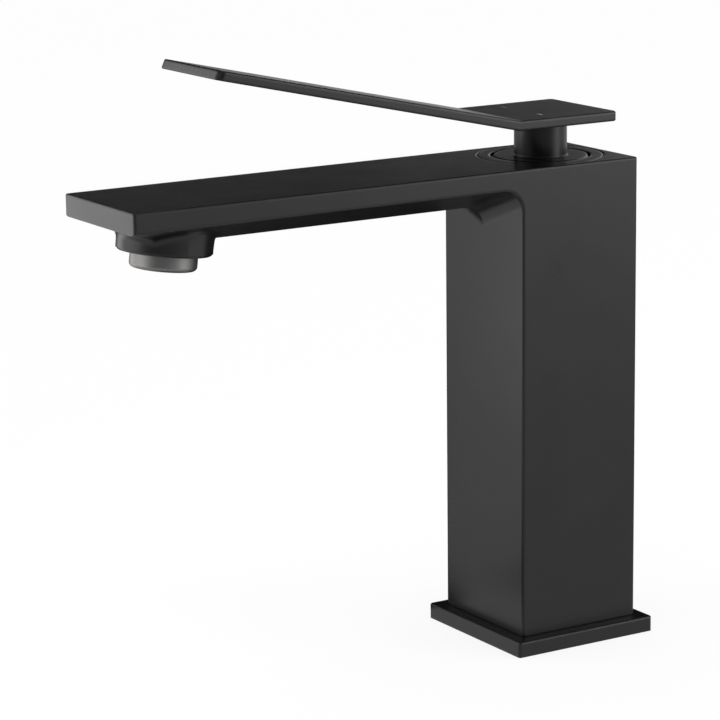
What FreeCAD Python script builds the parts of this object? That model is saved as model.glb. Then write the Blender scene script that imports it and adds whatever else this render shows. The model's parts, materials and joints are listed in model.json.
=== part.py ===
import FreeCAD
import Part

import math
import os

# A single-lever basin mixer: square column, flat spout with a keeled underside, bent paddle lever.
# Sizes are in millimetres. +Z is up, the spout points to -Y, and +X is the user's right.
# The origin is the centre of the base, on the deck. The lever is modelled closed and pointing forward.

# Column and spout
column_width = 45.4
body_height = 161.0
spout_reach = 162.4
spout_side_height = 6.4
tip_height = 7.0
keel_drop = 8.4
hip_angle = 15.0
underside_fillet = 7.0
lower_edge_round = 0.8
upright_edge_round = 0.7
top_edge_break = 0.35

# Base flange, its seal and the ports under the base
flange_width = 54.0
flange_thickness = 5.2
flange_corner_round = 0.8
flange_edge_break = 0.35
spigot_radius = 16.9
spigot_recess = 1.0
spigot_clearance = 0.1
seal_inner_radius = 20.5
seal_outer_radius = 24.0
seal_thickness = 2.0
inlet_offset_x = 5.8
inlet_offset_y = 5.4
inlet_thread_radius = 4.5
inlet_thread_length = 13.0
stud_offset_y = 10.0
stud_thread_radius = 3.4
stud_thread_length = 18.0

# Outlet boss and aerator, set on an axis that leans the stream forward
outlet_setback = 21.9
outlet_drop = 17.1
outlet_lean = 7.0
boss_radius = 15.0
boss_draft = 0.4
boss_root_round = 3.0
boss_rim_break = 0.6
aerator_radius = 10.55
aerator_clearance = 0.1
aerator_wall = 1.4
aerator_proud = 5.2
aerator_seat_depth = 8.6
aerator_lip_width = 1.1
aerator_lip_height = 1.2
aerator_edge_round = 1.4
aerator_washer_thickness = 1.6
aerator_washer_bore = 6.5
insert_clearance = 0.1
insert_wall = 1.0
insert_floor = 2.2
insert_slot_count = 8
insert_slot_width = 1.3
insert_slot_start = 2.6
insert_slot_margin = 0.65

# Waterway from the cartridge to the outlet
waterway_radius = 3.6
waterway_depth = 8.0
passage_width = 9.0
passage_depth = 1.6
passage_wall = 1.0
passage_height = 5.0

# Lever tilt and the ball-shaped hub that closes the top of the column
pivot_depth = 12.0
tilt_max = 22.0
hub_skirt_height = 8.0
hub_wall = 2.1
hub_plate = 3.5
hub_gap = 0.45
neck_radius = 8.7
ring_width = 4.0
ring_gap = 1.35
ring_height = 5.0
ring_clearance = 0.4
ring_edge_break = 0.25
rim_wall = 1.7

# Lever plate
lever_width = 36.8
lever_flat_rise = 15.0
lever_thickness = 3.3
lever_tip_thickness = 3.1
lever_rear_reach = 17.6
lever_bend_reach = 20.5
lever_blade_length = 111.8
lever_blade_angle = 12.7
lever_tip_lean = 25.0
lever_bend_round = 9.0
lever_tip_round = 2.0
lever_rear_round = 1.4
lever_edge_round = 0.6
lever_under_break = 0.35
lever_spigot_radius = 5.0
lever_spigot_length = 2.6

# Cartridge, from the nut on top down to the seat
nut_clearance = 0.7
nut_flange_height = 2.8
nut_thread_clearance = 0.1
nut_collar_wall = 3.3
nut_notch_count = 4
nut_notch_width = 4.0
nut_notch_depth = 2.0
front_wall = 1.7
annulus_gap = 1.0
housing_wall = 2.0
housing_roof = 2.4
housing_shoulder = 2.4
housing_neck_wall = 1.8
housing_neck_rise = 1.0
running_clearance = 0.1
slide_clearance = 0.15
o_ring_section = 1.8
turret_flange_gap = 0.6
turret_flange_height = 2.9
turret_rise = 2.4
turret_slot_wall = 2.3
rail_width = 2.2
rail_inset = 1.5
limit_ring_width = 1.7
limit_ring_height = 1.7
limit_tab_length = 1.6
limit_tab_width = 4.0
carrier_play = 0.2
carrier_height = 6.0
carrier_end_gap = 2.2
carrier_side_step = 5.8
peg_radius = 1.2
peg_length = 1.5
peg_inset = 4.2
disc_thickness = 4.1
disc_gap = 0.05
moving_disc_inset = 0.3
mixing_pocket_wall = 3.2
mixing_pocket_depth = 1.6
fixed_disc_gap = 0.8
port_radius = 2.8
outlet_port_offset = 7.2
base_spigot_height = 2.5
base_flange_height = 3.1
side_outlet_wall = 0.8
port_seal_width = 1.4
port_seal_height = 1.6

# Stem, pin and grub screw
stem_width = 7.8
stem_clearance = 0.05
stem_cover = 2.5
stem_eye_radius = 4.0
arm_radius = 2.0
ball_radius = 2.9
ball_depth = 1.7
ball_play = 0.4
pin_radius = 1.55
pin_clearance = 0.05
pin_inset = 1.2
grub_radius = 2.4
grub_clearance = 0.05
grub_length = 3.0
grub_socket_width = 2.5
grub_socket_depth = 1.8
grub_drop = 1.2

# Room that a cutting shape has beyond the piece it cuts, and plain geometry
cut_margin = 10.0
full_turn = 360.0
eighth_turn = math.pi / 4
hexagon = 6

# Places that follow from the sizes above
half_width = column_width / 2
side_low_z = body_height - spout_side_height
tip_low_z = body_height - tip_height
keel_z = side_low_z - keel_drop
keel_rise = keel_drop / half_width
outlet_reach = spout_reach - outlet_setback
outlet_rim_z = body_height - outlet_drop
waterway_z = body_height - waterway_depth
pivot_z = body_height - pivot_depth
hub_low_z = body_height - hub_skirt_height
ring_low_z = body_height - ring_height
ring_seat_radius = half_width - rim_wall
ring_outer_radius = ring_seat_radius - ring_clearance
ring_inner_radius = ring_outer_radius - ring_width
hub_top_radius = ring_inner_radius - ring_gap
hub_radius = math.hypot(hub_top_radius, pivot_depth)
hub_bore_radius = hub_radius + hub_gap
skirt_angle = math.asin((hub_low_z - pivot_z) / hub_radius)
skirt_lowest_z = pivot_z + hub_radius * math.sin(skirt_angle - math.radians(tilt_max))
nut_top_z = skirt_lowest_z - nut_clearance
shoulder_z = nut_top_z - nut_flange_height
chamber_top_z = shoulder_z - housing_roof
cavity_radius = half_width - front_wall - passage_depth - passage_wall
housing_radius = cavity_radius - annulus_gap
chamber_radius = housing_radius - housing_wall
housing_neck_radius = chamber_radius - housing_shoulder
nut_bore_radius = housing_neck_radius + nut_thread_clearance
nut_collar_radius = nut_bore_radius + nut_collar_wall
turret_radius = housing_neck_radius - housing_neck_wall - running_clearance
turret_flange_radius = chamber_radius - turret_flange_gap
limit_ring_radius = turret_radius + limit_ring_width
limit_tab_reach = limit_ring_radius + limit_tab_length
fixed_disc_radius = chamber_radius - fixed_disc_gap
housing_neck_z = pivot_z + housing_neck_rise
turret_top_z = housing_neck_z + turret_rise
turret_flange_z = chamber_top_z - running_clearance
turret_low_z = turret_flange_z - turret_flange_height
carrier_top_z = turret_low_z - carrier_play
carrier_low_z = carrier_top_z - carrier_height
moving_disc_low_z = carrier_low_z - disc_thickness
fixed_disc_top_z = moving_disc_low_z - disc_gap
fixed_disc_low_z = fixed_disc_top_z - disc_thickness
housing_low_z = fixed_disc_low_z - base_spigot_height
seat_z = housing_low_z - base_flange_height
ball_z = carrier_top_z - ball_depth
arm_length = pivot_z - ball_z
slide_travel = arm_length * math.radians(tilt_max)
carrier_centre_y = slide_travel / 2
carrier_radius = chamber_radius - carrier_centre_y - carrier_end_gap
carrier_half_width = turret_flange_radius - carrier_side_step
moving_disc_radius = carrier_radius - moving_disc_inset
o_ring_z = shoulder_z - housing_roof / 2
lever_top_z = body_height + lever_flat_rise
lever_low_z = lever_top_z - lever_thickness
stem_top_z = lever_low_z - lever_spigot_length - stem_cover
stem_half = stem_width / 2
grub_z = stem_top_z - grub_drop
inlet_ports = ((-inlet_offset_x, inlet_offset_y), (inlet_offset_x, inlet_offset_y))
all_ports = inlet_ports + ((0.0, -outlet_port_offset),)


def vec(x, y, z):
    return FreeCAD.Vector(x, y, z)


def box(x_span, y_span, z_span):
    """A block between a low and a high value on each axis."""
    low = vec(x_span[0], y_span[0], z_span[0])
    return Part.makeBox(x_span[1] - low.x, y_span[1] - low.y, z_span[1] - low.z, low)


def rod(radius, low_z, high_z, x=0.0, y=0.0):
    """An upright cylinder."""
    return Part.makeCylinder(radius, high_z - low_z, vec(x, y, low_z))


def ring(inner, outer, low_z, high_z, x=0.0, y=0.0):
    """An upright tube."""
    return rod(outer, low_z, high_z, x, y).cut(rod(inner, low_z, high_z, x, y))


def cross_rod(radius, reach):
    """A cylinder along X, centred on the tilt pivot."""
    return Part.makeCylinder(radius, 2 * reach, vec(-reach, 0, pivot_z), vec(1, 0, 0))


def ball(radius):
    """A sphere about the tilt pivot."""
    return Part.makeSphere(radius, vec(0, 0, pivot_z))


def sphere_section(z):
    """The radius of the hub's outer sphere at a height."""
    return math.sqrt(hub_radius ** 2 - (z - pivot_z) ** 2)


def side_slab(points, width):
    """An outline of (y, z) corners, spread evenly to both sides of the middle plane."""
    corners = [vec(-width / 2, y, z) for y, z in points]
    face = Part.Face(Part.makePolygon(corners + corners[:1]))
    return face.extrude(vec(width, 0, 0))


def edges_where(shape, test):
    """The edges whose ends and middle all pass the test."""
    found = []
    for edge in shape.Edges:
        middle = edge.valueAt((edge.FirstParameter + edge.LastParameter) / 2)
        points = [vertex.Point for vertex in edge.Vertexes] + [middle]
        if all(test(point) for point in points):
            found.append(edge)
    return found


def outer_rim(faces):
    """The edges round a group of joined faces, without the edges that they share."""
    found = {}
    for edge in (edge for face in faces for edge in face.OuterWire.Edges):
        found.setdefault(edge.hashCode(), []).append(edge)
    return [edges[0] for edges in found.values() if len(edges) == 1]


def cone(low_radius, high_radius, low_z, high_z):
    """An upright cone between two heights."""
    return Part.makeCone(low_radius, high_radius, high_z - low_z, vec(0, 0, low_z))


def near(value, target):
    return abs(value - target) < Part.Precision.approximation()


def lean_to_outlet(shape):
    """Moves a shape made about the Z axis, with the boss rim at zero, onto the outlet's axis."""
    placed = shape.copy()
    placed.rotate(vec(0, 0, 0), vec(1, 0, 0), -outlet_lean)
    placed.translate(vec(0, -outlet_reach, outlet_rim_z))
    return placed


def underside_tool(side):
    """The space under one half of the spout, with the fillet that runs it into the column."""
    front_y = -spout_reach - cut_margin
    fillet_y = -half_width - underside_fillet
    low_z = -2 * keel_drop - cut_margin
    on_arc = underside_fillet * math.sin(eighth_turn)
    arc_start = vec(0, fillet_y, keel_z)
    arc_middle = vec(0, fillet_y + on_arc, keel_z - underside_fillet + on_arc)
    arc_end = vec(0, -half_width, keel_z - underside_fillet)
    front_top = vec(0, front_y, keel_z)
    front_low = vec(0, front_y, low_z)
    rear_low = vec(0, -half_width, low_z)
    outline = [
        Part.makeLine(front_top, arc_start),
        Part.Arc(arc_start, arc_middle, arc_end).toShape(),
        Part.makeLine(arc_end, rear_low),
        Part.makeLine(rear_low, front_low),
        Part.makeLine(front_low, front_top),
    ]
    reach = half_width + cut_margin
    return Part.Face(Part.Wire(outline)).extrude(vec(side * reach, 0, reach * keel_rise))


def hip_tool():
    """The space under the spout's tip, where the keel runs out into the straight end face."""
    slope = math.tan(math.radians(hip_angle))
    run = 2 * keel_drop / slope
    outline = [
        (-spout_reach - cut_margin, tip_low_z + cut_margin * slope),
        (-spout_reach + run, tip_low_z - run * slope),
        (-spout_reach - cut_margin, tip_low_z - run * slope),
    ]
    return side_slab(outline, column_width + cut_margin)


def outer_block():
    """The plan outline of column and spout, with rounded uprights and broken top edges."""
    block = box((-half_width, half_width), (-spout_reach, half_width), (flange_thickness, body_height))

    def upright(point):
        at_end = near(point.y, -spout_reach) or near(point.y, half_width)
        return near(abs(point.x), half_width) and at_end

    block = block.makeFillet(upright_edge_round, edges_where(block, upright))
    top = edges_where(block, lambda point: near(point.z, body_height))
    return block.makeChamfer(top_edge_break, top)


def keeled_bar():
    """The column and spout with the keeled underside, run past the tip so that its edges round cleanly."""
    y_span = (-spout_reach - cut_margin / 2, half_width)
    bar = box((-half_width, half_width), y_span, (flange_thickness, body_height))
    bar = bar.cut(underside_tool(1)).cut(underside_tool(-1))

    def lower_edge(point):
        in_front = point.y < -half_width + lower_edge_round
        return near(abs(point.x), half_width) and in_front and point.z < side_low_z + lower_edge_round

    bar = bar.makeFillet(lower_edge_round, edges_where(bar, lower_edge))
    return bar.cut(hip_tool())


def body_blank():
    """The column and spout as one casting, with rounded edges and no holes."""
    return outer_block().common(keeled_bar())


def outlet_boss():
    """The drafted boss that carries the aerator, with its top inside the spout."""
    height = outlet_drop - spout_side_height / 2
    boss = Part.makeCone(boss_radius, boss_radius + boss_draft, height)
    rim = edges_where(boss, lambda point: near(point.z, 0))
    return lean_to_outlet(boss.makeChamfer(boss_rim_break, rim))


def casting():
    """Column, spout and boss in one, with a fillet that runs the boss into the keeled underside."""
    body = body_blank().fuse(outlet_boss()).removeSplitter()
    walls = [face for face in body.Faces if isinstance(face.Surface, Part.Cone)]
    root = [edge for face in walls for edge in face.Edges if isinstance(edge.Curve, Part.Ellipse)]
    return body.makeFillet(boss_root_round, root)


def water_passage():
    """The slot from the cavity, below the cartridge's O-ring, up to the spout's waterway."""
    top_z = o_ring_z - o_ring_section / 2 - passage_wall
    upper_y = -hub_bore_radius - passage_wall
    lower_y = -cavity_radius - passage_wall
    turn_z = nut_top_z - passage_wall
    outline = [
        (-cavity_radius + passage_depth, top_z - passage_height),
        (-cavity_radius + passage_depth, top_z),
        (lower_y, top_z + passage_wall),
        (upper_y, turn_z),
        (upper_y, waterway_z),
        (upper_y - passage_depth, waterway_z),
        (upper_y - passage_depth, turn_z),
        (lower_y - passage_depth, top_z),
        (lower_y - passage_depth, top_z - passage_height),
    ]
    return side_slab(outline, passage_width)


def waterway():
    """The bore along the spout and the passage that feeds it."""
    rear_y = -hub_bore_radius - passage_wall - passage_depth
    length = outlet_reach + rear_y
    bore = Part.makeCylinder(waterway_radius, length, vec(0, rear_y, waterway_z), vec(0, -1, 0))
    drop = lean_to_outlet(rod(aerator_washer_bore, 0, waterway_z - outlet_rim_z))
    return bore.fuse(water_passage()).fuse(drop)


def inlet_bores():
    """The two supply bores, each threaded at its lower end."""
    thread_top_z = spigot_recess + inlet_thread_length
    bores = []
    for x, y in inlet_ports:
        bores.append(rod(port_radius, spigot_recess, seat_z, x, y))
        bores.append(rod(inlet_thread_radius, spigot_recess, thread_top_z, x, y))
    return bores


def make_faucet_body():
    body = casting().fuse(rod(spigot_radius, spigot_recess, flange_thickness))
    stud_top_z = spigot_recess + stud_thread_length
    holes = [
        rod(cavity_radius, seat_z, nut_top_z),
        rod(hub_bore_radius, nut_top_z, ring_low_z),
        rod(ring_seat_radius, ring_low_z, body_height),
        rod(stud_thread_radius, spigot_recess, stud_top_z, 0, -stud_offset_y),
        lean_to_outlet(rod(aerator_radius + aerator_clearance, 0, aerator_seat_depth)),
        waterway(),
    ]
    for hole in holes + inlet_bores():
        body = body.cut(hole)
    return body


def make_base_flange():
    half = flange_width / 2
    flange = box((-half, half), (-half, half), (0, flange_thickness))
    uprights = edges_where(flange, lambda point: near(abs(point.x), half) and near(abs(point.y), half))
    flange = flange.makeFillet(flange_corner_round, uprights)
    top = edges_where(flange, lambda point: near(point.z, flange_thickness))
    flange = flange.makeChamfer(flange_edge_break, top)
    flange = flange.cut(rod(spigot_radius + spigot_clearance, 0, flange_thickness))
    return flange.cut(ring(seal_inner_radius, seal_outer_radius, 0, seal_thickness))


def make_base_seal():
    return ring(seal_inner_radius, seal_outer_radius, 0, seal_thickness)


def make_trim_ring():
    blank = rod(ring_outer_radius, ring_low_z, body_height)
    top = edges_where(blank, lambda point: near(point.z, body_height))
    blank = blank.makeChamfer(ring_edge_break, top)
    bore_radius = sphere_section(ring_low_z) + ring_gap
    return blank.cut(cone(bore_radius, ring_inner_radius, ring_low_z, body_height))


def make_cartridge_nut():
    nut = rod(cavity_radius - nut_thread_clearance, shoulder_z, nut_top_z)
    nut = nut.fuse(rod(nut_collar_radius, nut_top_z, pivot_z)).cut(rod(nut_bore_radius, shoulder_z, pivot_z))
    notch = box(
        (nut_collar_radius - nut_notch_depth, nut_collar_radius + cut_margin),
        (-nut_notch_width / 2, nut_notch_width / 2),
        (nut_top_z, pivot_z),
    )
    for index in range(nut_notch_count):
        cutter = notch.copy()
        cutter.rotate(vec(0, 0, 0), vec(0, 0, 1), index * full_turn / nut_notch_count)
        nut = nut.cut(cutter)
    return nut


def make_cartridge_housing():
    housing = rod(housing_radius, housing_low_z, shoulder_z)
    housing = housing.fuse(rod(housing_neck_radius, shoulder_z, housing_neck_z))
    housing = housing.cut(rod(chamber_radius, housing_low_z, chamber_top_z))
    housing = housing.cut(rod(turret_radius + running_clearance, chamber_top_z, housing_neck_z))
    return housing.cut(make_housing_o_ring())


def make_housing_o_ring():
    """The ring as it sits, squeezed square between its groove and the cavity wall."""
    inner = cavity_radius - o_ring_section
    return ring(inner, cavity_radius, o_ring_z - o_ring_section / 2, o_ring_z + o_ring_section / 2)


def port_seal(x, y, low_z, high_z):
    return ring(port_radius, port_radius + port_seal_width, low_z, high_z, x, y)


def upper_port_seals():
    low_z = fixed_disc_low_z - port_seal_height
    return [port_seal(x, y, low_z, fixed_disc_low_z) for x, y in all_ports]


def lower_port_seals():
    high_z = seat_z + port_seal_height
    return [port_seal(x, y, seat_z, high_z) for x, y in inlet_ports]


def make_cartridge_base():
    base = rod(housing_radius, seat_z, housing_low_z)
    spigot = rod(chamber_radius - running_clearance, housing_low_z, fixed_disc_low_z)
    base = base.fuse(spigot).removeSplitter()
    for x, y in inlet_ports:
        base = base.cut(rod(port_radius, seat_z, fixed_disc_low_z, x, y))
    outlet_low_z = seat_z + side_outlet_wall
    base = base.cut(rod(port_radius, outlet_low_z, fixed_disc_low_z, 0, -outlet_port_offset))
    side_outlet = box(
        (-port_radius, port_radius),
        (-housing_radius - cut_margin, -outlet_port_offset),
        (outlet_low_z, housing_low_z - side_outlet_wall),
    )
    base = base.cut(side_outlet)
    for seal in upper_port_seals() + lower_port_seals():
        base = base.cut(seal)
    return base


def make_disc_seals():
    return Part.makeCompound(upper_port_seals())


def make_inlet_seals():
    return Part.makeCompound(lower_port_seals())


def make_fixed_disc():
    disc = rod(fixed_disc_radius, fixed_disc_low_z, fixed_disc_top_z)
    for x, y in all_ports:
        disc = disc.cut(rod(port_radius, fixed_disc_low_z, fixed_disc_top_z, x, y))
    return disc


def carrier_pegs(radius):
    low_z = carrier_low_z - peg_length
    offset = moving_disc_radius - peg_inset
    return [rod(radius, low_z, carrier_low_z, side * offset, carrier_centre_y) for side in (-1, 1)]


def make_moving_disc():
    disc = rod(moving_disc_radius, moving_disc_low_z, carrier_low_z, 0, carrier_centre_y)
    for hole in carrier_pegs(peg_radius + running_clearance):
        disc = disc.cut(hole)
    pocket_top_z = moving_disc_low_z + mixing_pocket_depth
    pocket_radius = moving_disc_radius - mixing_pocket_wall
    return disc.cut(rod(pocket_radius, moving_disc_low_z, pocket_top_z, 0, carrier_centre_y))


def make_disc_carrier():
    carrier = rod(carrier_radius, carrier_low_z, carrier_top_z, 0, carrier_centre_y)
    flats = box(
        (-carrier_half_width, carrier_half_width),
        (-cut_margin - carrier_radius, cut_margin + carrier_radius),
        (carrier_low_z, carrier_top_z),
    )
    carrier = carrier.common(flats)
    slot_half = ball_radius + ball_play
    slot_low_z = ball_z - ball_radius - ball_play
    carrier = carrier.cut(
        box((-slot_half, slot_half), (-slot_half, slot_half), (slot_low_z, carrier_top_z))
    )
    for peg in carrier_pegs(peg_radius):
        carrier = carrier.fuse(peg)
    return carrier.removeSplitter()


def make_cartridge_turret():
    turret = rod(turret_radius, turret_flange_z, turret_top_z)
    turret = turret.fuse(rod(turret_flange_radius, turret_low_z, turret_flange_z))
    rail_inner = carrier_half_width + slide_clearance
    rail_outer = rail_inner + rail_width
    rail_reach = math.sqrt(turret_flange_radius ** 2 - rail_outer ** 2) - rail_inset
    rail_low_z = carrier_low_z + peg_length
    for side in (-1, 1):
        ends = sorted((side * rail_inner, side * rail_outer))
        turret = turret.fuse(box(ends, (-rail_reach, rail_reach), (rail_low_z, turret_low_z)))
    slot_half = stem_half + slide_clearance
    slot_reach = turret_radius - turret_slot_wall
    slot = box((-slot_half, slot_half), (-slot_reach, slot_reach), (turret_low_z, turret_top_z))
    turret = turret.removeSplitter().cut(slot)
    return turret.cut(cross_rod(pin_radius, turret_radius + cut_margin))


def make_temperature_limit_ring():
    low_z = housing_neck_z + running_clearance
    high_z = low_z + limit_ring_height
    limit = rod(limit_ring_radius, low_z, high_z)
    tab = box(
        (-limit_tab_width / 2, limit_tab_width / 2),
        (-limit_tab_reach, 0),
        (low_z, high_z),
    )
    return limit.fuse(tab).removeSplitter().cut(rod(turret_radius, low_z, high_z))


def make_lever_pivot_pin():
    return cross_rod(pin_radius, turret_radius - pin_inset)


def make_cartridge_stem():
    stem = box((-stem_half, stem_half), (-stem_half, stem_half), (pivot_z, stem_top_z))
    stem = stem.fuse(cross_rod(stem_eye_radius, stem_half))
    stem = stem.fuse(rod(arm_radius, ball_z, pivot_z))
    stem = stem.fuse(Part.makeSphere(ball_radius, vec(0, 0, ball_z)))
    return stem.removeSplitter().cut(cross_rod(pin_radius + pin_clearance, stem_width))


def grub_rod(radius, start_y, end_y):
    """A cylinder that runs back from the stem through the rear of the neck."""
    return Part.makeCylinder(radius, end_y - start_y, vec(0, start_y, grub_z), vec(0, 1, 0))


def make_lever_hub():
    room = hub_radius + cut_margin
    hub = ball(hub_radius).common(box((-room, room), (-room, room), (hub_low_z, body_height)))
    hollow_top_z = body_height - hub_plate
    low_radius = sphere_section(hub_low_z) - hub_wall
    top_radius = sphere_section(hollow_top_z) - hub_wall
    hollow = cone(low_radius, top_radius, hub_low_z, hollow_top_z)
    hub = hub.cut(hollow).fuse(rod(neck_radius, body_height - hub_plate / 2, lever_low_z))
    socket_half = stem_half + stem_clearance
    socket_span = (-socket_half, socket_half)
    hub = hub.removeSplitter().cut(box(socket_span, socket_span, (hub_low_z, stem_top_z + stem_clearance)))
    spigot_low_z = lever_low_z - lever_spigot_length
    hub = hub.cut(rod(lever_spigot_radius + stem_clearance, spigot_low_z, lever_low_z))
    return hub.cut(grub_rod(grub_radius + grub_clearance, 0, neck_radius + cut_margin))


def make_lever_plate():
    angle = math.radians(lever_blade_angle)
    lean = math.radians(lever_tip_lean)
    bend_y = -lever_bend_reach
    tip_y = bend_y - lever_blade_length * math.cos(angle)
    tip_z = lever_top_z + lever_blade_length * math.sin(angle)
    end_height = lever_tip_thickness / math.cos(lean - angle)
    tip_low_y = tip_y - end_height * math.sin(lean)
    bend_low_y = bend_y - lever_thickness * math.tan(angle / 2)
    outline = [
        (lever_rear_reach, lever_low_z),
        (lever_rear_reach, lever_top_z),
        (bend_y, lever_top_z),
        (tip_y, tip_z),
        (tip_low_y, tip_z - end_height * math.cos(lean)),
        (bend_low_y, lever_low_z),
    ]
    plate = side_slab(outline, lever_width)
    half = lever_width / 2

    def bend_edge(point):
        return near(point.y, bend_low_y) and near(point.z, lever_low_z)

    def tip_corner(point):
        return near(abs(point.x), half) and point.y < tip_y + lever_edge_round

    def rear_corner(point):
        return near(abs(point.x), half) and near(point.y, lever_rear_reach)

    plate = plate.makeFillet(lever_bend_round, edges_where(plate, bend_edge))
    plate = plate.makeFillet(lever_tip_round, edges_where(plate, tip_corner))
    plate = plate.makeFillet(lever_rear_round, edges_where(plate, rear_corner))
    top_faces = [face for face in plate.Faces if face.normalAt(0, 0).z > math.cos(2 * angle)]
    plate = plate.makeFillet(lever_edge_round, outer_rim(top_faces))
    low_faces = [face for face in plate.Faces if face.normalAt(0, 0).z < -math.cos(2 * angle)]
    plate = plate.makeChamfer(lever_under_break, outer_rim(low_faces))
    spigot_low_z = lever_low_z - lever_spigot_length
    return plate.fuse(rod(lever_spigot_radius, spigot_low_z, lever_low_z)).removeSplitter()


def make_grub_screw():
    screw = grub_rod(grub_radius, stem_half, stem_half + grub_length)
    socket_start_y = stem_half + grub_length - grub_socket_depth
    socket_end_y = stem_half + grub_length
    corner_radius = grub_socket_width / 2 / math.cos(math.pi / hexagon)
    corners = []
    for index in range(hexagon + 1):
        turn = index * 2 * math.pi / hexagon
        x = corner_radius * math.cos(turn)
        corners.append(vec(x, socket_start_y, grub_z + corner_radius * math.sin(turn)))
    socket = Part.Face(Part.makePolygon(corners)).extrude(vec(0, socket_end_y - socket_start_y, 0))
    return screw.cut(socket)


def make_screw_cap():
    start_y = stem_half + grub_length
    cap = grub_rod(grub_radius, start_y, neck_radius + cut_margin)
    return cap.common(rod(neck_radius, body_height, lever_low_z))


def make_aerator_shell():
    inner = aerator_radius - aerator_wall
    washer_z = aerator_seat_depth - aerator_washer_thickness
    shell = rod(aerator_radius, -aerator_proud, washer_z)
    low_rim = edges_where(shell, lambda point: near(point.z, -aerator_proud))
    shell = shell.makeFillet(aerator_edge_round, low_rim)
    lip_z = -aerator_proud + aerator_lip_height
    shell = shell.cut(rod(inner, lip_z, washer_z))
    return lean_to_outlet(shell.cut(rod(inner - aerator_lip_width, -aerator_proud, lip_z)))


def make_aerator_insert():
    outer = aerator_radius - aerator_wall - insert_clearance
    low_z = -aerator_proud + aerator_lip_height
    high_z = aerator_seat_depth - aerator_washer_thickness
    insert = rod(outer, low_z, high_z)
    floor_z = low_z + insert_floor
    insert = insert.cut(rod(outer - insert_wall, floor_z, high_z))
    half = insert_slot_width / 2
    slot_end = outer - insert_wall - insert_slot_margin
    slot = box((insert_slot_start, slot_end), (-half, half), (low_z, floor_z))
    for index in range(insert_slot_count):
        cutter = slot.copy()
        cutter.rotate(vec(0, 0, 0), vec(0, 0, 1), index * full_turn / insert_slot_count)
        insert = insert.cut(cutter)
    return lean_to_outlet(insert)


def make_aerator_washer():
    low_z = aerator_seat_depth - aerator_washer_thickness
    return lean_to_outlet(ring(aerator_washer_bore, aerator_radius, low_z, aerator_seat_depth))


pieces = {
    "faucet_body": make_faucet_body,
    "base_flange": make_base_flange,
    "base_seal": make_base_seal,
    "trim_ring": make_trim_ring,
    "cartridge_nut": make_cartridge_nut,
    "cartridge_housing": make_cartridge_housing,
    "housing_o_ring": make_housing_o_ring,
    "cartridge_base": make_cartridge_base,
    "disc_seals": make_disc_seals,
    "inlet_seals": make_inlet_seals,
    "fixed_disc": make_fixed_disc,
    "moving_disc": make_moving_disc,
    "disc_carrier": make_disc_carrier,
    "cartridge_turret": make_cartridge_turret,
    "temperature_limit_ring": make_temperature_limit_ring,
    "lever_pivot_pin": make_lever_pivot_pin,
    "cartridge_stem": make_cartridge_stem,
    "lever_hub": make_lever_hub,
    "lever_plate": make_lever_plate,
    "grub_screw": make_grub_screw,
    "screw_cap": make_screw_cap,
    "aerator_shell": make_aerator_shell,
    "aerator_insert": make_aerator_insert,
    "aerator_washer": make_aerator_washer,
}

os.makedirs("parts", exist_ok=True)
for name, make in pieces.items():
    shape = make()
    shape.exportStep("parts/" + name + ".step")
    print(name, "valid" if shape.isValid() else "not valid", len(shape.Solids), round(shape.Volume, 1))
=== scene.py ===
import json
import math

import bmesh
import bpy
from bpy.props import FloatProperty, FloatVectorProperty, IntProperty, PointerProperty
from bpy.types import Operator, Panel, PropertyGroup
from mathutils import Matrix, Vector


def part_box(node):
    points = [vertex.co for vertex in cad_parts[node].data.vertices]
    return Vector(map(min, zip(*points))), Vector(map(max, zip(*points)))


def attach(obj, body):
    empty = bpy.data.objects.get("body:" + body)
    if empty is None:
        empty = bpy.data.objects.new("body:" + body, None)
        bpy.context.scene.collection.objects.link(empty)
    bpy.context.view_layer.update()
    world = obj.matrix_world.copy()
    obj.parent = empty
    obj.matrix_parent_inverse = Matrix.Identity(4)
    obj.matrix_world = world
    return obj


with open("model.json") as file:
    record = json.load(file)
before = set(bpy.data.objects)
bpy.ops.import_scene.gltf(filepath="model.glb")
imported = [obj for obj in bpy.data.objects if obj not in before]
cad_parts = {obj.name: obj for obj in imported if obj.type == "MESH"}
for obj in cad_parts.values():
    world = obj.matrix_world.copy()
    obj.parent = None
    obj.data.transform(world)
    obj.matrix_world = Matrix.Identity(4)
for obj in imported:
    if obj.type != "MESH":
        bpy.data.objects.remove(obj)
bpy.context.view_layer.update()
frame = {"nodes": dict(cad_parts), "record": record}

bl_info = {
    "name": "Basin mixer",
    "version": (1, 0, 0),
    "blender": (4, 5, 0),
    "location": "View3D > Sidebar > Basin mixer",
    "description": "Finishes, small details and studio of a single-lever basin mixer",
    "category": "Object",
}

MILLIMETRE = 0.001
FULL_TURN = 2 * math.pi
WHITE = (1.0, 1.0, 1.0)
X_AXIS = Vector((1.0, 0.0, 0.0))
Y_AXIS = Vector((0.0, 1.0, 0.0))
Z_AXIS = Vector((0.0, 0.0, 1.0))

# Noise runs from 0 to 1. Clouds and turning lines have more detail in it than fine grain.
NOISE_MIDDLE = 0.5
CLOUD_DETAIL = 2.0
GRAIN_DETAIL = 1.0

# Socket places on the Mix node, which has one set of sockets for each kind of data
MIX_FACTOR = 0
MIX_COLOUR_A = 6
MIX_COLOUR_B = 7
MIX_COLOUR_OUT = 2


class Value:
    """A shader socket that takes part in plain sums."""

    def __init__(self, graph, socket):
        self.graph = graph
        self.socket = socket

    def math_node(self, operation, other):
        return self.graph.node("ShaderNodeMath", {"operation": operation}, {0: self, 1: other})

    def __add__(self, other):
        return self.math_node("ADD", other)

    __radd__ = __add__

    def __sub__(self, other):
        return self.math_node("SUBTRACT", other)

    def __mul__(self, other):
        return self.math_node("MULTIPLY", other)


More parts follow.
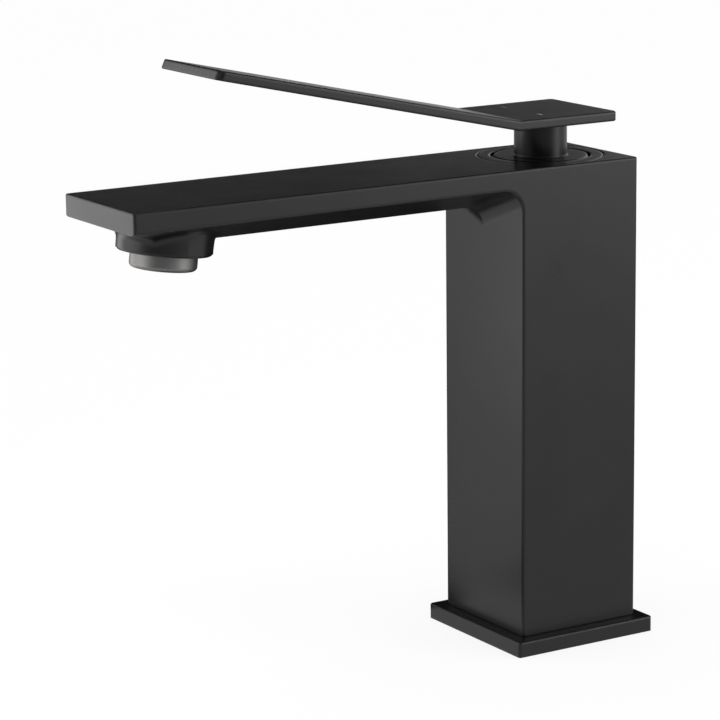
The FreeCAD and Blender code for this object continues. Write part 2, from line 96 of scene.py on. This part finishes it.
class Graph:
    """A node tree in the making. Every node comes from its node method."""

    def __init__(self, tree):
        self.tree = tree
        tree.nodes.clear()

    def node(self, kind, settings=None, inputs=None, output=0):
        """Adds a node, sets it up, fills its sockets and gives one of its outputs."""
        made = self.tree.nodes.new(kind)
        for name, value in (settings or {}).items():
            setattr(made, name, value)
        for key, value in (inputs or {}).items():
            if isinstance(value, Value):
                self.tree.links.new(value.socket, made.inputs[key])
            else:
                made.inputs[key].default_value = value
        return Value(self, made.outputs[output]) if made.outputs else None

    def place(self):
        """The point on the piece, in metres, in the piece's own frame."""
        return self.node("ShaderNodeTexCoord", output="Object")

    def noise(self, size, detail=CLOUD_DETAIL):
        """A cloudy value from 0 to 1 whose patches are about that size."""
        return self.node(
            "ShaderNodeTexNoise", {}, {"Vector": self.place(), "Scale": 1 / size, "Detail": detail}
        )

    def lathe_lines(self, axis, size):
        """A value from 0 to 1 that changes along an axis only, as turning marks do."""
        along = self.node(
            "ShaderNodeVectorMath", {"operation": "DOT_PRODUCT"}, {0: self.place(), 1: axis}, "Value"
        )
        return self.node(
            "ShaderNodeTexNoise",
            {"noise_dimensions": "1D"},
            {"W": along, "Scale": 1 / size, "Detail": CLOUD_DETAIL},
        )

    def mottle(self, factor, colour, dark, light):
        """A colour that goes with a value, from a dark share of itself to a light share."""
        return self.node(
            "ShaderNodeMix",
            {"data_type": "RGBA"},
            {MIX_FACTOR: factor, MIX_COLOUR_A: shaded(colour, dark), MIX_COLOUR_B: shaded(colour, light)},
            MIX_COLOUR_OUT,
        )

    def bump(self, height, depth, under=None):
        """A surface normal that follows a height from 0 to 1, where 1 stands for the depth."""
        inputs = {"Height": height, "Distance": depth, "Strength": 1.0}
        if under:
            inputs["Normal"] = under
        return self.node("ShaderNodeBump", {}, inputs)

    def principled(self, **sockets):
        """The main shader, with its sockets named in plain words."""
        inputs = {}
        for name, value in sockets.items():
            title = name.replace("_", " ").title()
            inputs[title.replace("Ior", "IOR")] = value
        return self.node("ShaderNodeBsdfPrincipled", {}, inputs)


def new_material(name, build):
    """A material whose surface comes from a function of a graph."""
    material = bpy.data.materials.new(name)
    material.use_nodes = True
    graph = Graph(material.node_tree)
    graph.node("ShaderNodeOutputMaterial", {}, {"Surface": build(graph)})
    return material


def opaque(colour):
    """A colour with the alpha that a colour socket asks for."""
    return (*colour, 1.0)


def shaded(colour, share):
    """A colour made lighter or darker by a share."""
    return opaque(min(1.0, part * share) for part in colour)


class CoatSettings(PropertyGroup):
    """The satin black coat on the body, the flange, the ring and the lever."""

    colour: FloatVectorProperty(
        name="Colour", description="Colour of the coat", subtype="COLOR", default=(0.004, 0.004, 0.0041)
    )
    roughness: FloatProperty(
        name="Roughness", description="Mean roughness of the coat", default=0.31, min=0.0, max=1.0
    )
    sheen: FloatProperty(
        name="Sheen", description="Strength of the coat's reflection, where a half is usual", default=0.28,
        min=0.0, max=1.0,
    )
    grain: FloatProperty(
        name="Grain", description="Size of the coat's fine grain", default=0.0004, unit="LENGTH"
    )
    grain_depth: FloatProperty(
        name="Grain depth", description="Height of the fine grain", default=0.000003, unit="LENGTH"
    )
    cloud: FloatProperty(
        name="Cloud", description="Size of the soft patches in the sheen", default=0.018, unit="LENGTH"
    )
    flow: FloatProperty(
        name="Flow", description="Distance over which the coat flows round an edge", default=0.0009,
        unit="LENGTH",
    )


class OutletSettings(PropertyGroup):
    """The plated aerator and the wire screen in its mouth."""

    colour: FloatVectorProperty(
        name="Plate", description="Colour of the dark plate", subtype="COLOR", default=(0.15, 0.148, 0.146)
    )
    roughness: FloatProperty(
        name="Roughness", description="Mean roughness of the plate", default=0.42, min=0.0, max=1.0
    )
    lean: FloatProperty(
        name="Lean", description="Lean of the outlet's axis", default=math.radians(7), unit="ROTATION"
    )
    lip: FloatProperty(
        name="Lip", description="Height of the lip below the screen", default=0.0012, unit="LENGTH"
    )
    mouth: FloatProperty(
        name="Mouth", description="Radius of the opening in the lip", default=0.00805, unit="LENGTH"
    )
    wire: FloatProperty(
        name="Wire", description="Radius of the screen's wire", default=0.00014, unit="LENGTH"
    )
    mesh: FloatProperty(
        name="Mesh", description="Spacing of the screen's wires", default=0.0011, unit="LENGTH"
    )


class MarkSettings(PropertyGroup):
    """The two small dashes on the lever that show where hot and cold are."""

    hot_colour: FloatVectorProperty(
        name="Hot", description="Colour of the enamel on the hot side", subtype="COLOR",
        default=(0.15, 0.15, 0.153),
    )
    cold_colour: FloatVectorProperty(
        name="Cold", description="Colour of the enamel on the cold side", subtype="COLOR",
        default=(0.27, 0.27, 0.275),
    )
    plate: FloatProperty(
        name="Plate", description="Thickness of the lever's plate, on top of its hub", default=0.0033,
        unit="LENGTH",
    )
    offset: FloatProperty(
        name="Offset", description="Distance from the lever's middle line", default=0.0102, unit="LENGTH"
    )
    forward: FloatProperty(
        name="Forward", description="Distance in front of the column's middle", default=0.0075, unit="LENGTH"
    )
    length: FloatProperty(
        name="Length", description="Length of a dash", default=0.0028, unit="LENGTH"
    )
    width: FloatProperty(
        name="Width", description="Width of a dash", default=0.0009, unit="LENGTH"
    )
    height: FloatProperty(
        name="Height", description="Height of the enamel above the lever", default=0.00008, unit="LENGTH"
    )


class CartridgeSettings(PropertyGroup):
    """Colours of the cartridge's pieces, inside the column."""

    brass: FloatVectorProperty(
        name="Brass", description="Colour of the brass", subtype="COLOR", default=(0.72, 0.55, 0.27)
    )
    steel: FloatVectorProperty(
        name="Steel", description="Colour of the steel", subtype="COLOR", default=(0.55, 0.56, 0.57)
    )
    ceramic: FloatVectorProperty(
        name="Ceramic", description="Colour of the discs", subtype="COLOR", default=(0.88, 0.87, 0.83)
    )
    grey: FloatVectorProperty(
        name="Grey", description="Colour of the housing", subtype="COLOR", default=(0.62, 0.63, 0.64)
    )
    white: FloatVectorProperty(
        name="White", description="Colour of the turret", subtype="COLOR", default=(0.86, 0.86, 0.84)
    )
    red: FloatVectorProperty(
        name="Red", description="Colour of the limit ring", subtype="COLOR", default=(0.60, 0.08, 0.06)
    )
    rubber: FloatVectorProperty(
        name="Rubber", description="Colour of the seals", subtype="COLOR", default=(0.035, 0.035, 0.036)
    )


class ThreadSettings(PropertyGroup):
    """The threads in the two inlets and in the hole for the fixing stud."""

    inlet_pitch: FloatProperty(
        name="Inlet pitch", description="Pitch of the inlets' thread", default=0.001, unit="LENGTH"
    )
    stud_pitch: FloatProperty(
        name="Stud pitch", description="Pitch of the stud's thread", default=0.00125, unit="LENGTH"
    )
    depth: FloatProperty(
        name="Depth", description="Height of the thread's ridge, as a share of its pitch", default=0.4
    )
    steps: IntProperty(
        name="Steps", description="Steps round one turn of a thread", default=48, min=12
    )


class StageSettings(PropertyGroup):
    """The camera, the lamps and the white floor."""

    camera_place: FloatVectorProperty(
        name="Camera", description="Place of the camera", subtype="TRANSLATION", unit="LENGTH",
        default=(0.8216, -0.5780, 0.3183),
    )
    camera_azimuth: FloatProperty(
        name="Azimuth", description="Side that the camera looks from", default=math.radians(58.297),
        unit="ROTATION",
    )
    camera_pitch: FloatProperty(
        name="Pitch", description="How far the camera looks down", default=math.radians(12.687),
        unit="ROTATION",
    )
    camera_roll: FloatProperty(
        name="Roll", description="Turn of the camera about its own axis", default=math.radians(-0.678),
        unit="ROTATION",
    )
    lens: FloatProperty(
        name="Lens", description="Focal length of the camera", default=154.33, unit="CAMERA"
    )
    sensor: FloatProperty(
        name="Sensor", description="Width of the camera's sensor", default=36.0, unit="CAMERA"
    )
    floor_colour: FloatVectorProperty(
        name="Floor", description="Colour of the floor", subtype="COLOR", default=(0.9, 0.9, 0.9)
    )
    floor_glow: FloatProperty(
        name="Floor glow", description="Share of the floor's white that no shadow dims", default=0.85
    )
    flag_colour: FloatVectorProperty(
        name="Flags", description="Colour of the dark cards", subtype="COLOR", default=(0.02, 0.02, 0.02)
    )
    left_power: FloatProperty(
        name="Left power", description="Power of the softbox in front of the spout", default=0.15,
        unit="POWER",
    )
    front_power: FloatProperty(
        name="Front power", description="Power of the small softbox that lights the outlet", default=0.36,
        unit="POWER",
    )
    right_power: FloatProperty(
        name="Right power", description="Power of the softbox behind the right side", default=11.3,
        unit="POWER",
    )


def satin_black(coat):
    """The coat: nearly black, with soft patches in its sheen and a fine grain."""
    cloud_swing = 0.12
    grain_swing = 0.10
    edge_samples = 6

    def build(graph):
        cloud = graph.noise(coat.cloud)
        grain = graph.noise(coat.grain, GRAIN_DETAIL)
        sway = (cloud - NOISE_MIDDLE) * cloud_swing + (grain - NOISE_MIDDLE) * grain_swing
        flow = graph.node("ShaderNodeBevel", {"samples": edge_samples}, {"Radius": coat.flow})
        return graph.principled(
            base_color=graph.mottle(cloud, coat.colour, dark=0.85, light=1.15),
            roughness=coat.roughness + sway,
            specular_ior_level=coat.sheen,
            normal=graph.bump(grain, coat.grain_depth, flow),
        )

    return new_material("satin_black", build)


def dark_plate(outlet, axis):
    """Dark chrome plate with faint turning lines round the outlet's axis."""
    line_size = 0.25 * MILLIMETRE
    line_depth = 0.002 * MILLIMETRE
    line_swing = 0.14
    cloud_size = 3 * MILLIMETRE

    def build(graph):
        lines = graph.lathe_lines(axis, line_size)
        cloud = graph.noise(cloud_size)
        return graph.principled(
            base_color=graph.mottle(cloud, outlet.colour, dark=0.92, light=1.08),
            metallic=1.0,
            roughness=outlet.roughness + (lines - NOISE_MIDDLE) * line_swing,
            normal=graph.bump(lines, line_depth),
        )

    return new_material("dark_plate", build)


def turned_metal(name, colour, roughness, axis):
    """Bare metal from a lathe, with its turning lines."""
    line_size = 0.3 * MILLIMETRE
    line_depth = 0.004 * MILLIMETRE
    line_swing = 0.2
    cloud_size = 4 * MILLIMETRE

    def build(graph):
        lines = graph.lathe_lines(axis, line_size)
        cloud = graph.noise(cloud_size)
        return graph.principled(
            base_color=graph.mottle(cloud, colour, dark=0.88, light=1.08),
            metallic=1.0,
            roughness=roughness + (lines - NOISE_MIDDLE) * line_swing,
            normal=graph.bump(lines, line_depth),
        )

    return new_material(name, build)


def moulded(name, colour, roughness, grain):
    """Moulded plastic, rubber or enamel, with a soft mottle and a fine texture."""
    patch_size = 5 * MILLIMETRE
    patch_swing = 0.1
    grain_depth = 0.01 * MILLIMETRE

    def build(graph):
        patches = graph.noise(patch_size)
        texture = graph.noise(grain, GRAIN_DETAIL)
        return graph.principled(
            base_color=graph.mottle(patches, colour, dark=0.93, light=1.05),
            roughness=roughness + (patches - NOISE_MIDDLE) * patch_swing,
            normal=graph.bump(texture, grain_depth),
        )

    return new_material(name, build)


def lapped_ceramic(colour):
    """Dense ceramic, lapped to a bright flat face."""
    speckle_size = 0.8 * MILLIMETRE
    speckle_swing = 0.06
    least_roughness = 0.16

    def build(graph):
        speckle = graph.noise(speckle_size)
        return graph.principled(
            base_color=graph.mottle(speckle, colour, dark=0.95, light=1.03),
            roughness=least_roughness + speckle * speckle_swing,
            coat_weight=0.3,
        )

    return new_material("lapped_ceramic", build)


def dress(material, *nodes):
    """Puts one finish on some of the CAD pieces."""
    for name in nodes:
        piece = frame["nodes"][name]
        piece.data.materials.clear()
        piece.data.materials.append(material)


def new_object(name, shape, material):
    """An object in the scene, from a finished mesh builder."""
    mesh = bpy.data.meshes.new(name)
    shape.to_mesh(mesh)
    shape.free()
    mesh.materials.append(material)
    made = bpy.data.objects.new(name, mesh)
    bpy.context.scene.collection.objects.link(made)
    return made


def new_piece(name, shape, material, body):
    """A new piece from a finished mesh builder, riding on a body."""
    bmesh.ops.recalc_face_normals(shape, faces=shape.faces)
    piece = new_object(name, shape, material)
    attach(piece, body)


def skin(shape, rings):
    """Joins rings of points into a skin and closes both of its ends."""
    rows = [[shape.verts.new(point) for point in ring] for ring in rings]
    count = len(rows[0])
    for low, high in zip(rows, rows[1:]):
        for index in range(count):
            following = (index + 1) % count
            shape.faces.new((low[index], low[following], high[following], high[index]))
    shape.faces.new(rows[0])
    shape.faces.new(rows[-1])


class BodyFinish(Operator):
    """Coats the body, its base flange and the trim ring in satin black"""

    bl_idname = "mixer.body_finish"
    bl_label = "Coat the body"

    def execute(self, context):
        material = satin_black(context.scene.mixer_coat)
        dress(material, "faucet_body", "base_flange", "trim_ring")
        return {"FINISHED"}


class LeverFinish(Operator):
    """Coats the lever, its hub and the cap over its screw in satin black"""

    bl_idname = "mixer.lever_finish"
    bl_label = "Coat the lever"

    def execute(self, context):
        material = satin_black(context.scene.mixer_coat)
        dress(material, "lever_plate", "lever_hub", "screw_cap")
        return {"FINISHED"}


class LeverMarks(Operator):
    """Sets the two enamel dashes for hot and cold into the lever's flat top"""

    bl_idname = "mixer.lever_marks"
    bl_label = "Set the marks"

    def execute(self, context):
        marks = context.scene.mixer_marks
        flat_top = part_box("lever_hub")[1].z + marks.plate
        for name, side, colour in (("hot_mark", -1, marks.hot_colour), ("cold_mark", 1, marks.cold_colour)):
            enamel = moulded(name + "_enamel", colour, roughness=0.35, grain=0.2 * MILLIMETRE)
            centre = Vector((side * marks.offset, -marks.forward, flat_top))
            self.dash(name, centre, marks, enamel)
        return {"FINISHED"}

    def dash(self, name, centre, marks, enamel):
        """A dash with round ends and a soft shoulder, rooted just below the lever's face."""
        steps = 24
        root = 0.1 * MILLIMETRE
        shoulder = 0.6 * marks.height
        crown_share = 0.8
        half = marks.width / 2
        reach = marks.length / 2 - half
        outline = []
        for index in range(steps):
            turn = FULL_TURN * (index + 0.5) / steps
            side = math.copysign(reach, math.cos(turn))
            outline.append((side + half * math.cos(turn), half * math.sin(turn)))
        rings = []
        for share, height in ((1.0, -root), (1.0, shoulder), (crown_share, marks.height)):
            rings.append([centre + Vector((x * share, y * share, height)) for x, y in outline])
        shape = bmesh.new()
        skin(shape, rings)
        new_piece(name, shape, enamel, "lever")


class OutletFinish(Operator):
    """Plates the aerator, finishes its insert and washer, and sets the wire screen in its mouth"""

    bl_idname = "mixer.outlet_finish"
    bl_label = "Finish the outlet"

    def execute(self, context):
        outlet = context.scene.mixer_outlet
        inside = context.scene.mixer_cartridge
        axis = Vector((0.0, math.sin(outlet.lean), math.cos(outlet.lean)))
        plastic = moulded("insert_plastic", inside.white, roughness=0.42, grain=0.3 * MILLIMETRE)
        rubber = moulded("washer_rubber", inside.rubber, roughness=0.6, grain=0.2 * MILLIMETRE)
        steel = turned_metal("screen_steel", inside.steel, roughness=0.28, axis=axis)
        dress(dark_plate(outlet, axis), "aerator_shell")
        dress(plastic, "aerator_insert")
        dress(rubber, "aerator_washer")
        self.screen(outlet, axis, steel)
        return {"FINISHED"}

    def screen(self, outlet, axis, steel):
        """Weaves two sets of wires across the mouth, each over and under the other."""
        low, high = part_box("aerator_shell")
        radius = (high.x - low.x) / 2
        length = (high.z - low.z - 2 * radius * math.sin(outlet.lean)) / math.cos(outlet.lean)
        stand_off = 2.5 * outlet.wire
        forward = axis.cross(X_AXIS)
        centre = (low + high) / 2 - axis * (length / 2 - outlet.lip + stand_off)
        count = int(outlet.mouth / outlet.mesh)
        shape = bmesh.new()
        for along, aside, phase in ((X_AXIS, forward, 0), (forward, X_AXIS, 1)):
            for index in range(-count, count + 1):
                offset = index * outlet.mesh
                reach = math.sqrt(outlet.mouth ** 2 - offset ** 2)
                middle = centre + aside * offset
                self.wire(shape, outlet, middle, along, aside, axis, reach, index + phase)
        new_piece("aerator_screen", shape, steel, "body")

    def wire(self, shape, outlet, middle, along, aside, axis, reach, order):
        """One wire, which waves as it passes over and under the wires that cross it."""
        sides = 6
        least_steps = 2
        steps_per_mesh = 4
        steps = max(least_steps, round(steps_per_mesh * reach / outlet.mesh))
        rings = []
        for step in range(steps + 1):
            run = reach * (2 * step / steps - 1)
            lift = outlet.wire * math.cos(math.pi * (run / outlet.mesh + order))
            point = middle + along * run + axis * lift
            ring = []
            for side in range(sides):
                turn = FULL_TURN * side / sides
                ring.append(point + outlet.wire * (aside * math.cos(turn) + axis * math.sin(turn)))
            rings.append(ring)
        skin(shape, rings)


class CartridgeFinish(Operator):
    """Finishes the cartridge's pieces and the screw that holds the lever"""

    bl_idname = "mixer.cartridge_finish"
    bl_label = "Finish the cartridge"

    def execute(self, context):
        inside = context.scene.mixer_cartridge
        grain = 0.25 * MILLIMETRE
        brass = turned_metal("turned_brass", inside.brass, roughness=0.3, axis=Z_AXIS)
        pin_steel = turned_metal("pin_steel", inside.steel, roughness=0.25, axis=X_AXIS)
        screw_steel = turned_metal("screw_steel", inside.steel, roughness=0.3, axis=Y_AXIS)
        grey = moulded("grey_acetal", inside.grey, roughness=0.45, grain=grain)
        white = moulded("white_acetal", inside.white, roughness=0.4, grain=grain)
        red = moulded("red_acetal", inside.red, roughness=0.4, grain=grain)
        dress(brass, "cartridge_nut", "cartridge_stem")
        dress(pin_steel, "lever_pivot_pin")
        dress(screw_steel, "grub_screw")
        dress(grey, "cartridge_housing", "cartridge_base")
        dress(white, "cartridge_turret", "disc_carrier")
        dress(red, "temperature_limit_ring")
        dress(lapped_ceramic(inside.ceramic), "fixed_disc", "moving_disc")
        return {"FINISHED"}


class SealFinish(Operator):
    """Finishes the rubber seals"""

    bl_idname = "mixer.seal_finish"
    bl_label = "Finish the seals"

    def execute(self, context):
        colour = context.scene.mixer_cartridge.rubber
        rubber = moulded("seal_rubber", colour, roughness=0.62, grain=0.2 * MILLIMETRE)
        dress(rubber, "base_seal", "housing_o_ring", "disc_seals", "inlet_seals")
        return {"FINISHED"}


class PortThreads(Operator):
    """Adds the threads that show in the ports under the base"""

    bl_idname = "mixer.port_threads"
    bl_label = "Thread the ports"

    def execute(self, context):
        threads = context.scene.mixer_threads
        colour = context.scene.mixer_cartridge.brass
        brass = turned_metal("port_brass", colour, roughness=0.32, axis=Z_AXIS)
        for mount in frame["record"]["mounts"]:
            if mount["kind"] != "threaded_hole":
                continue
            stud = mount["name"] == "fixing_stud"
            pitch = threads.stud_pitch if stud else threads.inlet_pitch
            self.ridge(mount, pitch, threads, brass)
        return {"FINISHED"}

    def ridge(self, mount, pitch, threads, material):
        """A helical ridge on the wall of a bore, run out at both ends."""
        free_turns = 1
        least_run_out = 0.05
        root = 0.02 * MILLIMETRE
        half = Z_AXIS * (pitch * 0.42)
        radius = mount["dims"]["r_mm"] * MILLIMETRE
        length = mount["dims"]["length_mm"] * MILLIMETRE
        centre = Vector(mount["pos_m"])
        low_z = centre.z - length / 2
        turns = length / pitch - 2 * free_turns
        count = round(turns * threads.steps)
        rings = []
        for step in range(count + 1):
            turn = FULL_TURN * step / threads.steps
            run_out = min(1.0, step / threads.steps, (count - step) / threads.steps)
            depth = threads.depth * pitch * max(least_run_out, run_out)
            middle_z = low_z + pitch * (free_turns + step / threads.steps)
            outward = Vector((math.cos(turn), math.sin(turn), 0.0))
            foot = Vector((centre.x, centre.y, middle_z)) + outward * (radius + root)
            rings.append([foot - half, foot + half, foot - outward * depth])
        shape = bmesh.new()
        skin(shape, rings)
        new_piece(mount["name"] + "_thread", shape, material, "body")


def round_about(azimuth, radius, height):
    """The point at an azimuth in degrees, where 0 is in front and 90 on the user's right."""
    angle = math.radians(azimuth)
    return Vector((radius * math.sin(angle), -radius * math.cos(angle), height))


class StudioStage(Operator):
    """Sets up the white floor, the softboxes, the dark flags and the camera"""

    bl_idname = "mixer.studio_stage"
    bl_label = "Set the stage"

    def execute(self, context):
        scene = context.scene
        stage = scene.mixer_stage
        scene.view_settings.view_transform = "Standard"
        self.world(scene)
        self.floor(stage)
        self.softbox(
            "left_softbox", stage.left_power, azimuth=-37.5, distance=0.296, height=0.155, size=(0.1, 0.28)
        )
        self.softbox(
            "front_softbox", stage.front_power, azimuth=-14, distance=0.5, height=0.1, size=(0.28, 0.2)
        )
        self.softbox(
            "right_softbox", stage.right_power, azimuth=132, distance=1.6, height=0.4, size=(0.8, 0.8)
        )
        self.flags(stage)
        self.camera(scene, stage)
        return {"FINISHED"}

    def seen_white(self, graph):
        """One for what the camera sees, straight or in a reflection, and nought for other light."""
        seen = graph.node("ShaderNodeLightPath", output="Is Camera Ray")
        seen = seen + graph.node("ShaderNodeLightPath", output="Is Glossy Ray")
        seen = seen + graph.node("ShaderNodeLightPath", output="Is Transmission Ray")
        return graph.node("ShaderNodeClamp", {}, {"Value": seen})

    def world(self, scene):
        """An even white light from all round."""
        scene.world = bpy.data.worlds.new("studio")
        scene.world.use_nodes = True
        graph = Graph(scene.world.node_tree)
        light = graph.node("ShaderNodeBackground", {}, {"Color": opaque(WHITE), "Strength": 1.0})
        graph.node("ShaderNodeOutputWorld", {}, {"Surface": light})

    def floor(self, stage):
        """A wide white floor that keeps a faint shadow."""
        radius = 8.0
        steps = 96

        def build(graph):
            lit = graph.node("ShaderNodeBsdfDiffuse", {}, {"Color": opaque(stage.floor_colour)})
            glow = graph.node("ShaderNodeEmission", {}, {"Color": opaque(WHITE)})
            share = self.seen_white(graph) * stage.floor_glow
            return graph.node("ShaderNodeMixShader", {}, {0: share, 1: lit, 2: glow})

        shape = bmesh.new()
        bmesh.ops.create_circle(shape, cap_ends=True, segments=steps, radius=radius)
        new_object("floor", shape, new_material("floor_white", build))

    def flags(self, stage):
        """Dark cards, as a studio uses for a black object. Only reflections see them, so they are painted
        dark reflections: they stand where the camera sees white world and floor, and they cast no shadow.
        """

        def build(graph):
            return graph.node("ShaderNodeBsdfDiffuse", {}, {"Color": opaque(stage.flag_colour)})

        dark = new_material("flag_black", build)
        far = 1.3
        close = 0.15
        ceiling = 1.2
        self.upright_flag("lens_flag", dark, azimuth=61, spread=84, radius=far, low_z=0.0, high_z=0.6)
        self.upright_flag("back_flag", dark, azimuth=261, spread=62, radius=far, low_z=0.275, high_z=ceiling)
        self.upright_flag("tip_flag", dark, azimuth=266, spread=52, radius=far, low_z=0.25, high_z=0.275)
        # Painted dark reflection: a low card close round the back of the part, which the camera never sees,
        # darkens the underside and the recess in reflection.
        self.upright_flag("low_flag", dark, azimuth=215, spread=122, radius=close, low_z=0.0, high_z=0.125)
        self.top_flag("top_flag", dark, opening=0.6, radius=far, height=ceiling)
        # Painted dark reflections: cards on the white floor left of the column and under the spout, which
        # the spout's underside, the recess beneath it and the lower column mirror as dark.
        left_of_column = (
            (-0.03, 0.8), (-1.1, 0.8), (-1.1, -0.3), (-0.35, -0.185), (-0.14, -0.07), (-0.03, -0.035),
        )
        under_spout = ((-0.05, -0.06), (-0.05, -0.2), (0.06, -0.2), (0.06, -0.06))
        self.floor_flag("floor_flag", dark, left_of_column)
        self.floor_flag("spout_flag", dark, under_spout)

    def upright_flag(self, name, material, azimuth, spread, radius, low_z, high_z):
        """A card that bends round the part, as wide as its spread in degrees."""
        steps = 16
        shape = bmesh.new()
        rows = []
        for step in range(steps + 1):
            side = azimuth + spread * (step / steps - 0.5)
            rows.append([shape.verts.new(round_about(side, radius, z)) for z in (low_z, high_z)])
        for first, second in zip(rows, rows[1:]):
            shape.faces.new((first[0], second[0], second[1], first[1]))
        self.add_flag(name, shape, material)

    def top_flag(self, name, material, opening, radius, height):
        """A level ring overhead, open in its middle."""
        steps = 48
        shape = bmesh.new()
        for edge in (opening, radius):
            bmesh.ops.create_circle(shape, segments=steps, radius=edge)
        bmesh.ops.bridge_loops(shape, edges=shape.edges)
        bmesh.ops.translate(shape, vec=Z_AXIS * height, verts=shape.verts)
        self.add_flag(name, shape, material)

    def floor_flag(self, name, material, corners):
        """A card that lies just above the floor. Only reflections see it, so it is a painted dark patch in
        the reflections of a floor that the camera sees white.
        """
        lift = 2 * MILLIMETRE
        shape = bmesh.new()
        shape.faces.new([shape.verts.new((x, y, lift)) for x, y in corners])
        self.add_flag(name, shape, material)

    def add_flag(self, name, shape, material):
        """Adds a card to the stage, for reflections only."""
        flag = new_object(name, shape, material)
        flag.visible_camera = False
        flag.visible_diffuse = False
        flag.visible_transmission = False
        flag.visible_shadow = False

    def softbox(self, name, power, azimuth, distance, height, size):
        """A lamp with a flat face, turned to the space under the spout's middle."""
        target = Vector((0.0, -0.1, 0.15))
        lamp = bpy.data.lights.new(name, "AREA")
        lamp.energy = power
        lamp.shape = "RECTANGLE"
        lamp.size, lamp.size_y = size
        box = bpy.data.objects.new(name, lamp)
        box.location = round_about(azimuth, distance, height)
        box.rotation_euler = (target - box.location).to_track_quat("-Z", "Y").to_euler()
        box.visible_camera = False
        bpy.context.scene.collection.objects.link(box)

    def camera(self, scene, stage):
        """The camera, from its place, the side it looks from, its pitch and its roll."""
        azimuth, pitch, roll = stage.camera_azimuth, stage.camera_pitch, stage.camera_roll
        level = Vector((-math.sin(azimuth), math.cos(azimuth), 0.0))
        right = Vector((math.cos(azimuth), math.sin(azimuth), 0.0))
        ahead = level * math.cos(pitch) - Z_AXIS * math.sin(pitch)
        above = Z_AXIS * math.cos(pitch) + level * math.sin(pitch)
        rolled_right = right * math.cos(roll) + above * math.sin(roll)
        rolled_above = above * math.cos(roll) - right * math.sin(roll)
        lens = bpy.data.cameras.new("photo_camera")
        lens.lens = stage.lens
        lens.sensor_width = stage.sensor
        camera = bpy.data.objects.new("photo_camera", lens)
        turn = Matrix((rolled_right, rolled_above, -ahead)).transposed().to_4x4()
        camera.matrix_world = Matrix.Translation(stage.camera_place) @ turn
        scene.collection.objects.link(camera)
        scene.camera = camera


OPERATORS = (
    BodyFinish, LeverFinish, LeverMarks, OutletFinish, CartridgeFinish, SealFinish, PortThreads, StudioStage,
)
SETTINGS = {
    "mixer_coat": CoatSettings,
    "mixer_outlet": OutletSettings,
    "mixer_marks": MarkSettings,
    "mixer_cartridge": CartridgeSettings,
    "mixer_threads": ThreadSettings,
    "mixer_stage": StageSettings,
}


class MixerPanel(Panel):
    """Lists the steps that dress the basin mixer, with their settings"""

    bl_idname = "VIEW3D_PT_mixer"
    bl_label = "Basin mixer"
    bl_space_type = "VIEW_3D"
    bl_region_type = "UI"
    bl_category = "Basin mixer"

    def draw(self, context):
        for operator in OPERATORS:
            self.layout.operator(operator.bl_idname)
        for name, kind in SETTINGS.items():
            group = getattr(context.scene, name)
            box = self.layout.box()
            box.label(text=kind.__doc__)
            for field in kind.__annotations__:
                box.prop(group, field)


def register():
    for kind in SETTINGS.values():
        bpy.utils.register_class(kind)
    for operator in OPERATORS:
        bpy.utils.register_class(operator)
    bpy.utils.register_class(MixerPanel)
    for name, kind in SETTINGS.items():
        setattr(bpy.types.Scene, name, PointerProperty(type=kind))


def unregister():
    for name in SETTINGS:
        delattr(bpy.types.Scene, name)
    bpy.utils.unregister_class(MixerPanel)
    for operator in reversed(OPERATORS):
        bpy.utils.unregister_class(operator)
    for kind in reversed(SETTINGS.values()):
        bpy.utils.unregister_class(kind)


def main():
    register()
    for operator in OPERATORS:
        group, name = operator.bl_idname.split(".")
        getattr(getattr(bpy.ops, group), name)()


if __name__ == "__main__":
    main()
